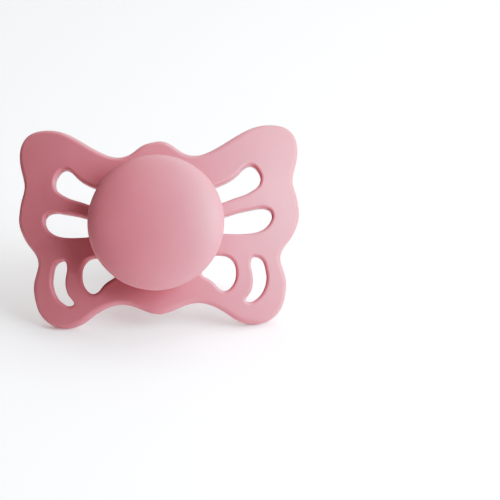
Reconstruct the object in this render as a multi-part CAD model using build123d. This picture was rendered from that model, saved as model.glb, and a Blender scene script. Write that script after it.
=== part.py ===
from build123d import *

# Butterfly-shaped pacifier, built as it comes apart on a bench: a curved butterfly shield with
# eight vent holes, a hollow flattened silicone teat, the plug that clamps the teat's flange in
# the shield's neck, and the base and cap of a hollow knob.
#
# The pieces are drawn in the shield's own frame: x across the wings, y up the shield and z out
# of its front, with z = 0 where the teat leaves the middle of the shield's rear face. The whole
# pacifier is then leaned back until it stands as it does on a table, on its two lower lobes and
# the underside of the teat. In the finished frame +Z is up, the front looks towards -Y, and the
# origin is on the table under the middle of the pacifier. All sizes are millimetres.

from math import cos, radians, sin, sqrt
import os

# ---- shield -------------------------------------------------------------------------------
SHIELD_HALF_WIDTH = 27.3     # middle plane to the outermost wing edge
SHIELD_RISE = 20.55          # teat axis to the top of the upper lobes
SHIELD_DROP = 18.7           # teat axis to the bottom of the lower lobes
SHIELD_WALL = 3.0
SHIELD_FRONT_RADIUS = 74.0   # the front face is part of a sphere; the wings bend to the cheeks
SHIELD_EDGE_ROUND = 1.1
VENT_EDGE_ROUND = 0.6
HUB_LAND = 2.4               # plain ring between the neck and the inner ends of the vents
VENT_CORNER_ROUND = 0.8      # where a vent's sides meet the hub

# ---- neck in front of the shield, and the socket in it --------------------------------------
NECK_WALL = 1.2
NECK_ROOT_ROUND = 0.7
SEAT_WEB = 1.6               # shield left behind the teat's flange
FIT = 0.05                   # clearance all round a piece that slides into another
BEAD_HEIGHT = 0.25           # snap bead on the knob's spigot
BEAD_WIDTH = 0.6

# ---- teat -----------------------------------------------------------------------------------
TEAT_LENGTH = 30.0           # rear face of the shield to the tip
TEAT_NECK_HALF_WIDTH = 6.95
TEAT_BULB_HALF_WIDTH = 9.35
TEAT_BULB_HEIGHT = 7.5       # widest point to the tip
TEAT_WAIST_LENGTH = 10.6     # widest point back to the straight neck
TEAT_FLATNESS = 0.64         # thickness over width, the same at neck and bulb
TEAT_WALL = 1.3
TEAT_FLANGE_THICKNESS = 1.5
TEAT_FLANGE_LEDGE = 1.4      # how far the flange stands out past the sides of the neck
WAIST_EASE = 0.45            # how softly the bulb runs into the neck, as a share of the waist

# ---- plug -----------------------------------------------------------------------------------
PLUG_NOSE_REACH = 2.3        # how far the nose stands into the teat past the shield
PLUG_NOSE_WALL = 1.1
PLUG_NOSE_ROUND = 0.6
PLUG_VENT_RADIUS = 0.6       # lets air out of the teat when it is squeezed

# ---- knob -----------------------------------------------------------------------------------
KNOB_RADIUS = 13.0
KNOB_FRONT_DEPTH = 3.9       # rim plane to the front of the dome
KNOB_REAR_DEPTH = 3.3        # rim plane back to where the rear dome would end
KNOB_STAND_OFF = 4.7         # front of the shield to the rim plane
KNOB_WALL = 1.4
KNOB_SPIGOT_LENGTH = 0.97    # how far the base reaches into the neck, to press on the plug
KNOB_LIP_HEIGHT = 0.8        # upstand on the base that centres the cap
KNOB_LIP_WALL = 0.85
KNOB_BASE_VENT_RADIUS = 2.0

# ---- shield outline and vents, as shares of the shield's half width, rise and drop -----------
# Right half, from the top of the middle bump round the wing to the bottom of the middle bump.
OUTLINE = [
    (0.000, 0.825), (0.110, 0.783), (0.190, 0.706), (0.264, 0.679), (0.364, 0.713),
    (0.473, 0.798), (0.582, 0.895), (0.692, 0.971), (0.832, 1.000), (0.938, 0.959),
    (0.989, 0.859), (1.000, 0.754), (0.987, 0.623), (0.960, 0.428), (0.982, 0.307),
    (0.996, 0.195), (0.998, 0.092), (0.978, 0.000), (0.934, -0.123), (0.877, -0.238),
    (0.859, -0.324), (0.874, -0.430), (0.896, -0.564), (0.888, -0.701), (0.850, -0.856),
    (0.773, -0.960), (0.658, -1.000), (0.557, -0.973), (0.458, -0.882), (0.366, -0.813),
    (0.266, -0.786), (0.165, -0.818), (0.081, -0.869), (0.000, -0.893),
]
# Vents of the right wing. These three run in under the knob, where the hub cuts them off.
UPPER_VENT = [
    (0.300, 0.282), (0.440, 0.387), (0.513, 0.436), (0.573, 0.501), (0.619, 0.564),
    (0.663, 0.586), (0.705, 0.545), (0.729, 0.460), (0.714, 0.387), (0.670, 0.336),
    (0.617, 0.297), (0.551, 0.265), (0.482, 0.229), (0.330, 0.161),
]
MIDDLE_VENT = [
    (0.300, 0.024), (0.491, 0.095), (0.571, 0.129), (0.663, 0.158), (0.751, 0.173),
    (0.791, 0.148), (0.804, 0.097), (0.791, 0.039), (0.755, -0.021), (0.703, -0.061),
    (0.641, -0.080), (0.520, -0.086), (0.300, -0.086),
]
LOWER_VENT = [
    (0.300, -0.299), (0.441, -0.302), (0.491, -0.321), (0.526, -0.372), (0.542, -0.460),
    (0.537, -0.548), (0.515, -0.615), (0.487, -0.655), (0.456, -0.668), (0.421, -0.642),
    (0.388, -0.588), (0.332, -0.532), (0.216, -0.428),
]
# This one is a closed crescent near the wing's edge.
CRESCENT_VENT = [
    (0.681, -0.313), (0.729, -0.353), (0.749, -0.441), (0.755, -0.540), (0.740, -0.636),
    (0.711, -0.709), (0.670, -0.762), (0.630, -0.781), (0.604, -0.765), (0.623, -0.711),
    (0.652, -0.642), (0.663, -0.551), (0.654, -0.449), (0.650, -0.366),
]
OUTLINE_EDGES = 12           # the outline is one smooth curve, kept as this many edges
VENT_EDGES = 4

# ---- sizes that follow from the ones above ----------------------------------------------------
INSERT_RADIUS = TEAT_NECK_HALF_WIDTH + TEAT_FLANGE_LEDGE
SOCKET_RADIUS = INSERT_RADIUS + FIT
NECK_RADIUS = SOCKET_RADIUS + NECK_WALL
HUB_RADIUS = NECK_RADIUS + HUB_LAND
KNOB_RIM = SHIELD_WALL + KNOB_STAND_OFF
NECK_FRONT = KNOB_RIM - KNOB_REAR_DEPTH * sqrt(1 - (NECK_RADIUS / KNOB_RADIUS) ** 2)
FLANGE_FRONT = SEAT_WEB + TEAT_FLANGE_THICKNESS
PLUG_FRONT = NECK_FRONT - KNOB_SPIGOT_LENGTH
CAVITY_NECK_HALF_WIDTH = TEAT_NECK_HALF_WIDTH - TEAT_WALL
CAVITY_FLATNESS = (TEAT_FLATNESS * TEAT_NECK_HALF_WIDTH - TEAT_WALL) / CAVITY_NECK_HALF_WIDTH
BULB_CENTRE = TEAT_BULB_HEIGHT - TEAT_LENGTH
CUT_REACH = 60.0             # longer than any piece, for cuts that go right through
POLES_ASIDE = Rot(90, 90, 0)  # keeps a sphere's poles and seam away from the part that is used
SHORTEST_RUN = 0.3           # an edge that spans more than this across the plate follows a face
SKIN_TOLERANCE = 0.02
FINEST_LEAN = 0.001          # degrees
STEEPEST_LEAN = 80.0         # degrees


def band(inner, outer, low, high):
    """A rectangle in a half section, from one radius to another between two levels."""
    middle = Pos((inner + outer) / 2, (low + high) / 2)
    return middle * Rectangle(outer - inner, high - low)


def dome(half_width, depth, centre):
    """The half section of a lens-shaped body round the axis, with its rim at that level."""
    return Pos(0, centre) * Ellipse(half_width, depth) & band(0, CUT_REACH, -CUT_REACH, CUT_REACH)


def turn(section):
    """The body that a half section makes when it turns about the axis."""
    return revolve(Plane.XZ * section, Axis.Z)


def spread(shares):
    """Turns shares of the shield's size into points in its plane."""
    return [
        (x * SHIELD_HALF_WIDTH, y * (SHIELD_RISE if y > 0 else SHIELD_DROP)) for x, y in shares
    ]


def in_edges(curve, count):
    """The same curve as that many edges in a row."""
    edge = curve.edge()
    return [edge.trim(n / count, (n + 1) / count) for n in range(count)]


def through(opening):
    """A flat shape drawn out along the axis, long enough to go right through the shield."""
    return extrude(Pos(0, 0, -CUT_REACH / 2) * opening, CUT_REACH)


def follows_face(edge):
    """True for the edges that run round a face of the plate, not from its front to its rear."""
    size = edge.bounding_box().size
    return max(size.X, size.Y) > SHORTEST_RUN


def make_plate():
    """The butterfly outline cut from a spherical shell, with the vents and rounded edges."""
    right = spread(OUTLINE)
    left = [(-x, y) for x, y in reversed(right[1:-1])]
    outline = make_face(in_edges(Spline(right + left, periodic=True), OUTLINE_EDGES))
    centre = Pos(0, 0, SHIELD_WALL - SHIELD_FRONT_RADIUS) * POLES_ASIDE
    column = extrude(Pos(0, 0, -SHIELD_HALF_WIDTH) * outline, SHIELD_HALF_WIDTH + CUT_REACH)
    plate = column & centre * Sphere(SHIELD_FRONT_RADIUS)
    plate -= centre * Sphere(SHIELD_FRONT_RADIUS - SHIELD_WALL)
    plate = fillet(plate.edges().filter_by(follows_face), SHIELD_EDGE_ROUND)
    vents = make_vents()
    vents += [mirror(vent, Plane.YZ) for vent in vents]
    pierced = plate - vents
    rims = new_edges(plate, *vents, combined=pierced).filter_by(follows_face)
    return fillet(rims, VENT_EDGE_ROUND)


def make_vents():
    """The four vents of the right wing, drawn straight through the plate."""
    vents = []
    for shares in (UPPER_VENT, MIDDLE_VENT, LOWER_VENT):
        points = spread(shares)
        mouth = Line(points[-1], points[0]).edge()
        opening = make_face(in_edges(Spline(points), VENT_EDGES) + [mouth])
        vent = through(opening - Circle(HUB_RADIUS))
        at_hub = [
            edge for edge in vent.edges().filter_by(Axis.Z)
            if abs(Vector(edge.center().X, edge.center().Y).length - HUB_RADIUS) < FIT
        ]
        vents.append(fillet(at_hub, VENT_CORNER_ROUND))
    crescent = Spline(spread(CRESCENT_VENT), periodic=True)
    vents.append(through(make_face(in_edges(crescent, VENT_EDGES))))
    return vents


def make_shield():
    """The plate with the neck in front of it, the socket in the neck and the hole for the teat."""
    shield = make_plate() + turn(band(0, NECK_RADIUS, SEAT_WEB, NECK_FRONT))
    root = [
        edge for edge in shield.edges().filter_by(GeomType.CIRCLE)
        if abs(edge.radius - NECK_RADIUS) < FIT and edge.center().Z < SHIELD_WALL
    ]
    shield = fillet(root, NECK_ROOT_ROUND)
    shield -= turn(band(0, SOCKET_RADIUS, SEAT_WEB, CUT_REACH))
    groove = bead(SOCKET_RADIUS, BEAD_HEIGHT + FIT, BEAD_WIDTH + 2 * FIT)
    hole = through(Ellipse(
        TEAT_NECK_HALF_WIDTH + FIT, TEAT_NECK_HALF_WIDTH * TEAT_FLATNESS + FIT,
    ))
    return shield - groove - hole


def bead(radius, height, width):
    """A ring with a pointed crest that stands out from a spigot of that radius."""
    level = (PLUG_FRONT + NECK_FRONT) / 2
    crest = Polygon(
        (radius, level - width / 2), (radius + height, level), (radius, level + width / 2),
        align=None,
    )
    return turn(crest + band(radius - height, radius, level - width / 2, level + width / 2))


def teat_form(inset, flatness, front):
    """The solid form of the teat, shrunk by the inset, from its tip up to a level in front."""
    neck = TEAT_NECK_HALF_WIDTH - inset
    bulb = TEAT_BULB_HALF_WIDTH - inset
    waist_end = BULB_CENTRE + TEAT_WAIST_LENGTH
    handle = TEAT_WAIST_LENGTH * WAIST_EASE
    waist = Bezier(
        (bulb, BULB_CENTRE), (bulb, BULB_CENTRE + handle),
        (neck, waist_end - handle), (neck, waist_end),
    )
    rest = Polyline((neck, waist_end), (neck, front), (0, front), (0, BULB_CENTRE),
                    (bulb, BULB_CENTRE))
    stem = make_face(waist.edges() + rest.edges())
    tip = dome(bulb, TEAT_BULB_HEIGHT - inset, BULB_CENTRE)
    tip &= band(0, CUT_REACH, -CUT_REACH, BULB_CENTRE)
    return scale(turn(tip + stem), by=(1, flatness, 1))


def make_teat():
    outer = teat_form(0, TEAT_FLATNESS, FLANGE_FRONT)
    flange = turn(band(0, INSERT_RADIUS, SEAT_WEB, FLANGE_FRONT))
    return outer + flange - teat_form(TEAT_WALL, CAVITY_FLATNESS, FLANGE_FRONT)


def oval(inset):
    """The cross-section of the teat's cavity at the neck, shrunk by the inset."""
    return Ellipse(
        CAVITY_NECK_HALF_WIDTH - inset, CAVITY_NECK_HALF_WIDTH * CAVITY_FLATNESS - inset,
    )


def make_plug():
    nose = extrude(Pos(0, 0, -PLUG_NOSE_REACH) * oval(FIT), PLUG_NOSE_REACH + PLUG_FRONT)
    nose = fillet(nose.edges().group_by(Axis.Z)[0], PLUG_NOSE_ROUND)
    hollow_floor = PLUG_NOSE_WALL - PLUG_NOSE_REACH
    hollow = extrude(Pos(0, 0, hollow_floor) * oval(FIT + PLUG_NOSE_WALL), CUT_REACH)
    plate = turn(band(0, INSERT_RADIUS, FLANGE_FRONT, PLUG_FRONT))
    return plate + nose - hollow - through(Circle(PLUG_VENT_RADIUS))


def lens(half_width, depth):
    """A flattened ball on the axis, widest at the knob's rim plane."""
    return Pos(0, 0, KNOB_RIM) * scale(Sphere(half_width), by=(1, 1, depth / half_width))


def make_knob_base():
    """The bowl behind the rim plane, its spigot for the neck and its lip for the cap."""
    bowl = lens(KNOB_RADIUS, KNOB_REAR_DEPTH) & turn(band(0, CUT_REACH, 0, KNOB_RIM))
    bowl += turn(band(0, INSERT_RADIUS, PLUG_FRONT, KNOB_RIM))
    bowl -= turn(band(INSERT_RADIUS, CUT_REACH, 0, NECK_FRONT))
    bowl -= turn(band(0, CUT_REACH, 0, PLUG_FRONT))
    bowl -= lens(KNOB_RADIUS - KNOB_WALL, KNOB_REAR_DEPTH - KNOB_WALL)
    lip_radius = KNOB_RADIUS - KNOB_WALL - FIT
    bowl += turn(band(
        lip_radius - KNOB_LIP_WALL, lip_radius,
        KNOB_RIM - KNOB_LIP_HEIGHT, KNOB_RIM + KNOB_LIP_HEIGHT,
    ))
    bowl -= through(Circle(KNOB_BASE_VENT_RADIUS))
    return bowl + bead(INSERT_RADIUS, BEAD_HEIGHT, BEAD_WIDTH)


def make_knob_cap():
    """The domed front, with a rebate inside its rim for the base's lip."""
    rebate_top = KNOB_RIM + KNOB_LIP_HEIGHT + FIT
    cap = lens(KNOB_RADIUS, KNOB_FRONT_DEPTH) & turn(band(0, CUT_REACH, KNOB_RIM, CUT_REACH))
    hollow = lens(KNOB_RADIUS - KNOB_WALL, KNOB_FRONT_DEPTH - KNOB_WALL)
    cap -= hollow & turn(band(0, CUT_REACH, rebate_top - FIT, CUT_REACH))
    return cap - turn(band(0, KNOB_RADIUS - KNOB_WALL, 0, rebate_top))


def skin(piece):
    """Points all over the surface of a piece."""
    return piece.tessellate(SKIN_TOLERANCE)[0]


def lowest(points, lean):
    """The level of the lowest of these points of the shield's frame, once it leans back."""
    up, forward = cos(radians(lean)), sin(radians(lean))
    return min(point.Y * up + point.Z * forward for point in points)


def middle_depth(points, lean):
    """Half way between the nearest and the furthest point, front to back, once it leans."""
    up, forward = cos(radians(lean)), sin(radians(lean))
    depths = [point.Y * forward - point.Z * up for point in points]
    return (min(depths) + max(depths)) / 2


def resting_lean(shield_skin, teat_skin):
    """The lean at which the shield's lower lobes and the teat's underside are level."""
    too_little, too_much = 0.0, STEEPEST_LEAN
    while too_much - too_little > FINEST_LEAN:
        lean = (too_little + too_much) / 2
        if lowest(teat_skin, lean) > lowest(shield_skin, lean):
            too_little = lean
        else:
            too_much = lean
    return (too_little + too_much) / 2


def main():
    pieces = {
        "shield": make_shield(),
        "teat": make_teat(),
        "teat_plug": make_plug(),
        "knob_base": make_knob_base(),
        "knob_cap": make_knob_cap(),
    }
    skins = {name: skin(piece) for name, piece in pieces.items()}
    lean = resting_lean(skins["shield"], skins["teat"])
    whole = [point for points in skins.values() for point in points]
    place = Pos(0, -middle_depth(whole, lean), -lowest(whole, lean)) * Rot(90 - lean, 0, 0)
    os.makedirs("parts", exist_ok=True)
    for name, piece in pieces.items():
        export_step(place * piece, f"parts/{name}.step")
    print(f"lean {lean:.3f} degrees, shield's frame at {place.position}")


main()
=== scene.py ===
# Looks of a pacifier that stands leaning back on its teat: a matte pink shield and knob from the
# CAD frame, a new silicone teat, and a white studio with one big soft light from the right.

from math import cos, pi, radians, sin

import bpy
from mathutils import Matrix, Vector


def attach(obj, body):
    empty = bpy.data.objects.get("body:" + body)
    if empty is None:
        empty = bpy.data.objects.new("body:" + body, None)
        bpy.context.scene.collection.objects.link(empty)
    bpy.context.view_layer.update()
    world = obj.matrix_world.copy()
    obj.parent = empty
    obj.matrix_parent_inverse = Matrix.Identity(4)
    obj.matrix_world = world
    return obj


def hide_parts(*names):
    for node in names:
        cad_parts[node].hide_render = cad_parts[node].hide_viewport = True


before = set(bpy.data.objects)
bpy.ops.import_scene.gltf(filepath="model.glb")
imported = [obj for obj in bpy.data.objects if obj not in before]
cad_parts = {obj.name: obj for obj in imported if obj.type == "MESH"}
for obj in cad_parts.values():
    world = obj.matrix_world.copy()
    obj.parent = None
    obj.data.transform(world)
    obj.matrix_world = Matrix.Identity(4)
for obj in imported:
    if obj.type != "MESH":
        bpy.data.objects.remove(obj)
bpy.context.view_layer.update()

MM = 0.001

# ---- the shield's own frame, in which the pacifier was designed --------------------------------
# x across the wings, y up the shield, z out of its front; z = 0 is the rear face at the teat.
LEAN_DEG = 31.018
SHIELD_ORIGIN = Vector((0.0, -6.1683, 18.0078)) * MM
SHIELD_FRAME = Matrix.Translation(SHIELD_ORIGIN) @ Matrix.Rotation(radians(90 - LEAN_DEG), 4, "X")
SHIELD_MID_WALL = 1.5 * MM

# ---- camera ------------------------------------------------------------------------------------
LENS_MM = 149.8
CAMERA_DISTANCE = 400 * MM
CAMERA_TILT_DEG = 8.0        # the shield's front looks this much above the camera
CAMERA_YAW_DEG = 0.73
CAMERA_ROLL_DEG = 1.23
CAMERA_RIGHT = 17.75 * MM    # the pacifier stands left of the picture's middle
CAMERA_DOWN = 4.42 * MM


def make_camera():
    tilt, yaw, roll = (
        radians(angle) for angle in (CAMERA_TILT_DEG, CAMERA_YAW_DEG, CAMERA_ROLL_DEG)
    )
    back = Vector((sin(yaw) * cos(tilt), -sin(tilt), cos(yaw) * cos(tilt)))
    level_right = Vector((cos(yaw), 0, -sin(yaw)))
    level_up = back.cross(level_right)
    right = level_right * cos(roll) - level_up * sin(roll)
    up = level_right * sin(roll) + level_up * cos(roll)
    place = (
        Vector((0, 0, SHIELD_MID_WALL))
        + right * CAMERA_RIGHT - up * CAMERA_DOWN + back * CAMERA_DISTANCE
    )
    turn = Matrix((right, up, back)).transposed().to_4x4()
    data = bpy.data.cameras.new("camera")
    data.lens = LENS_MM
    data.clip_start = 0.01
    data.clip_end = 20
    camera = bpy.data.objects.new("camera", data)
    bpy.context.scene.collection.objects.link(camera)
    camera.matrix_world = SHIELD_FRAME @ Matrix.Translation(place) @ turn
    bpy.context.scene.camera = camera


# ---- light and floor ----------------------------------------------------------------------------
AIM = Vector((0.0, -0.008, 0.018))
# name, azimuth to the right of the front, elevation, distance, width and height, watts, colour
LIGHTS = [
    ("right_box", 60, 30, 0.70, (0.50, 0.50), 4.9, (0.93, 0.97, 1.03)),
    ("side_box", 100, 28, 0.70, (0.50, 0.50), 0.9, (0.96, 0.98, 1.0)),
    ("back_right_box", 125, 55, 0.70, (0.50, 0.50), 1.3, (1.0, 1.0, 1.0)),
    ("back_box", 175, 45, 0.70, (0.50, 0.50), 1.0, (1.0, 1.0, 1.0)),
    ("back_left_box", 240, 35, 0.70, (0.50, 0.50), 0.45, (1.0, 0.98, 0.96)),
    ("top_box", 0, 85, 0.70, (0.50, 0.50), 0.5, (1.0, 1.0, 1.0)),
]
FLOOR_SIZE = 6.0             # metres
FLOOR_WHITE = (0.92, 0.92, 0.92)
FLOOR_ROUGHNESS = 0.8
FLOOR_GLOW = 0.14            # the table is lit from below a little, so it comes out white
# Scene light to picture light: a film-like curve, with deeper shadows and softened highlights.
TONE_CURVE = [
    (0.0, 0.0), (0.048, 0.027), (0.12, 0.126), (0.24, 0.336), (0.36, 0.516), (0.48, 0.647),
    (0.72, 0.80), (1.0, 1.0),
]
COMBINED_CURVE = 3           # the curve that acts on all three colours alike


def area_light(name, azimuth, elevation, distance, size, power, colour):
    a, e = radians(azimuth), radians(elevation)
    towards = Vector((sin(a) * cos(e), -cos(a) * cos(e), sin(e)))
    data = bpy.data.lights.new(name, "AREA")
    data.shape = "RECTANGLE"
    data.size, data.size_y = size
    data.energy = power
    data.color = colour
    light = bpy.data.objects.new(name, data)
    light.location = AIM + towards * distance
    light.rotation_mode = "QUATERNION"
    light.rotation_quaternion = (-towards).to_track_quat("-Z", "Y")
    bpy.context.scene.collection.objects.link(light)


def make_studio():
    for light in LIGHTS:
        area_light(*light)
    world = bpy.data.worlds.new("studio")
    world.use_nodes = True
    # All the light comes from the boxes and the table.
    world.node_tree.nodes["Background"].inputs["Strength"].default_value = 0.0
    bpy.context.scene.world = world
    view = bpy.context.scene.view_settings
    view.view_transform = "Standard"
    view.use_curve_mapping = True
    curve = view.curve_mapping.curves[COMBINED_CURVE]
    curve.points[0].location = TONE_CURVE[0]
    curve.points[1].location = TONE_CURVE[-1]
    for point in TONE_CURVE[1:-1]:
        curve.points.new(*point)
    view.curve_mapping.update()
    bpy.ops.mesh.primitive_plane_add(size=FLOOR_SIZE, location=(0, 0, 0))
    floor = bpy.context.object
    floor.name = "floor"
    white = plain_material("floor_white", FLOOR_WHITE, FLOOR_ROUGHNESS)
    shader = white.node_tree.nodes["Principled BSDF"]
    shader.inputs["Emission Color"].default_value = (1.0, 1.0, 1.0, 1.0)
    shader.inputs["Emission Strength"].default_value = FLOOR_GLOW
    floor.data.materials.append(white)


# ---- materials ----------------------------------------------------------------------------------
PINK = (0.60, 0.242, 0.262)
PINK_CLOUD = 0.03            # how much paler or deeper the pink gets from place to place
PINK_CLOUD_MM = 9.0
GRAIN_MM = 0.16              # spark-eroded grain of the mould
GRAIN_DEPTH_MM = 0.012
SILICONE = (0.95, 0.965, 0.98)
SILICONE_HAZE = (0.925, 0.945, 0.965)
SILICONE_CLEAR = (0.965, 0.975, 0.985)
HAZE_MM = 6.0
SMEAR_MM = 2.5
NOISE_LOW, NOISE_HIGH = 0.3, 0.7   # a noise texture keeps almost wholly between these


def plain_material(name, colour, roughness):
    material = bpy.data.materials.new(name)
    material.use_nodes = True
    shader = material.node_tree.nodes["Principled BSDF"]
    shader.inputs["Base Color"].default_value = (*colour, 1)
    shader.inputs["Roughness"].default_value = roughness
    return material


def noise(tree, coordinates, size_mm, detail):
    """A noise texture whose blobs are about that many millimetres across."""
    node = tree.nodes.new("ShaderNodeTexNoise")
    node.inputs["Scale"].default_value = 1 / (size_mm * MM)
    node.inputs["Detail"].default_value = detail
    tree.links.new(coordinates, node.inputs["Vector"])
    return node.outputs["Fac"]


def mapped(tree, value, low, high):
    """The value spread from its usual middle range to low..high."""
    node = tree.nodes.new("ShaderNodeMapRange")
    node.inputs["From Min"].default_value = NOISE_LOW
    node.inputs["From Max"].default_value = NOISE_HIGH
    node.inputs["To Min"].default_value = low
    node.inputs["To Max"].default_value = high
    tree.links.new(value, node.inputs["Value"])
    return node.outputs["Result"]


def mixed(tree, factor, first, second):
    node = tree.nodes.new("ShaderNodeMix")
    node.data_type = "RGBA"
    node.inputs["A"].default_value = (*first, 1)
    node.inputs["B"].default_value = (*second, 1)
    tree.links.new(factor, node.inputs["Factor"])
    return node.outputs["Result"]


def moulded_plastic(name, colour):
    """Matte polypropylene: an even colour, a fine spark-eroded grain and a soft depth."""
    material = plain_material(name, colour, 0.5)
    tree = material.node_tree
    shader = tree.nodes["Principled BSDF"]
    place = tree.nodes.new("ShaderNodeTexCoord").outputs["Object"]
    cloud = mapped(tree, noise(tree, place, PINK_CLOUD_MM, 2.0), 0.0, 1.0)
    deep = tuple(c * (1 - PINK_CLOUD) for c in colour)
    pale = tuple(c * (1 + PINK_CLOUD) for c in colour)
    tree.links.new(mixed(tree, cloud, deep, pale), shader.inputs["Base Color"])
    grain = noise(tree, place, GRAIN_MM, 3.0)
    tree.links.new(mapped(tree, grain, 0.42, 0.52), shader.inputs["Roughness"])
    bump = tree.nodes.new("ShaderNodeBump")
    bump.inputs["Strength"].default_value = 0.25
    bump.inputs["Distance"].default_value = GRAIN_DEPTH_MM * MM
    tree.links.new(grain, bump.inputs["Height"])
    tree.links.new(bump.outputs["Normal"], shader.inputs["Normal"])
    shader.inputs["IOR"].default_value = 1.49
    shader.inputs["Subsurface Weight"].default_value = 0.15
    shader.inputs["Subsurface Radius"].default_value = (1.0, 0.35, 0.25)
    shader.inputs["Subsurface Scale"].default_value = 0.8 * MM
    return material


def silicone(name):
    """Clear silicone with a milky haze and a satin skin."""
    material = plain_material(name, SILICONE, 0.4)
    tree = material.node_tree
    shader = tree.nodes["Principled BSDF"]
    place = tree.nodes.new("ShaderNodeTexCoord").outputs["Object"]
    cloud = mapped(tree, noise(tree, place, HAZE_MM, 2.0), 0.0, 1.0)
    haze = mixed(tree, cloud, SILICONE_HAZE, SILICONE_CLEAR)
    tree.links.new(haze, shader.inputs["Base Color"])
    smear = noise(tree, place, SMEAR_MM, 2.0)
    tree.links.new(mapped(tree, smear, 0.38, 0.44), shader.inputs["Roughness"])
    shader.inputs["IOR"].default_value = 1.41
    shader.inputs["Transmission Weight"].default_value = 0.5
    return material


# ---- teat, millimetres in the shield's frame -----------------------------------------------------
TEAT_LENGTH = 30.0
NECK_HALF_WIDTH = 6.95
BULB_HALF_WIDTH = 9.35
BULB_HEIGHT = 7.5
BULB_CENTRE = BULB_HEIGHT - TEAT_LENGTH
WAIST_LENGTH = 10.6
WAIST_EASE = 0.45
FLATNESS = 0.64
TEAT_WALL = 1.3
CAVITY_FLATNESS = (FLATNESS * NECK_HALF_WIDTH - TEAT_WALL) / (NECK_HALF_WIDTH - TEAT_WALL)
FLANGE_REAR, FLANGE_FRONT, FLANGE_RADIUS = 1.6, 3.1, 8.35
RING_POINTS = 128
TIP_RINGS = 28
WAIST_RINGS = 30
NECK_RINGS = 8


def wall_rings(inset, flatness, front):
    """Rings (level, half width, half thickness) of one wall, from near its tip to its front."""
    bulb, neck = BULB_HALF_WIDTH - inset, NECK_HALF_WIDTH - inset
    height = BULB_HEIGHT - inset
    rings = []
    for step in range(1, TIP_RINGS + 1):
        angle = step / TIP_RINGS * pi / 2
        rings.append((BULB_CENTRE - height * cos(angle), bulb * sin(angle)))
    for step in range(1, WAIST_RINGS + 1):
        t = step / WAIST_RINGS
        near, far = 3 * t * (1 - t) ** 2, 3 * t * t * (1 - t)
        along = WAIST_EASE * near + (1 - WAIST_EASE) * far + t ** 3
        narrowed = far + t ** 3
        rings.append((BULB_CENTRE + WAIST_LENGTH * along, bulb + (neck - bulb) * narrowed))
    start = rings[-1][0]
    for step in range(1, NECK_RINGS + 1):
        rings.append((start + (front - start) * step / NECK_RINGS, neck))
    return [(level, width, width * flatness) for level, width in rings]


def make_teat():
    """One closed skin: up the outside, round the flange and back down inside to the tip."""
    outside = wall_rings(0, FLATNESS, FLANGE_REAR)
    inside = wall_rings(TEAT_WALL, CAVITY_FLATNESS, FLANGE_FRONT)
    flange = [
        (FLANGE_REAR, FLANGE_RADIUS, FLANGE_RADIUS), (FLANGE_FRONT, FLANGE_RADIUS, FLANGE_RADIUS),
    ]
    rings = outside + flange + inside[::-1]
    points = [Vector((0, 0, -TEAT_LENGTH))]
    for level, half_width, half_thickness in rings:
        for n in range(RING_POINTS):
            angle = n / RING_POINTS * 2 * pi
            points.append(Vector((half_width * cos(angle), half_thickness * sin(angle), level)))
    points.append(Vector((0, 0, TEAT_WALL - TEAT_LENGTH)))
    last = len(points) - 1
    faces = []
    for n in range(RING_POINTS):
        after = (n + 1) % RING_POINTS
        faces.append((0, 1 + after, 1 + n))
        for ring in range(len(rings) - 1):
            low = 1 + ring * RING_POINTS
            high = low + RING_POINTS
            faces.append((low + n, low + after, high + after, high + n))
        top = 1 + (len(rings) - 1) * RING_POINTS
        faces.append((top + n, top + after, last))
    mesh = bpy.data.meshes.new("teat_skin")
    mesh.from_pydata([SHIELD_FRAME @ (point * MM) for point in points], [], faces)
    mesh.shade_smooth()
    teat = bpy.data.objects.new("teat_skin", mesh)
    bpy.context.scene.collection.objects.link(teat)
    mesh.materials.append(silicone("silicone_haze"))
    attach(teat, "root")
    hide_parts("teat")


def main():
    make_camera()
    make_studio()
    plastic = moulded_plastic("pink_polypropylene", PINK)
    for name in ("shield", "teat_plug", "knob_base", "knob_cap"):
        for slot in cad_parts[name].material_slots:
            slot.material = plastic
    make_teat()


main()
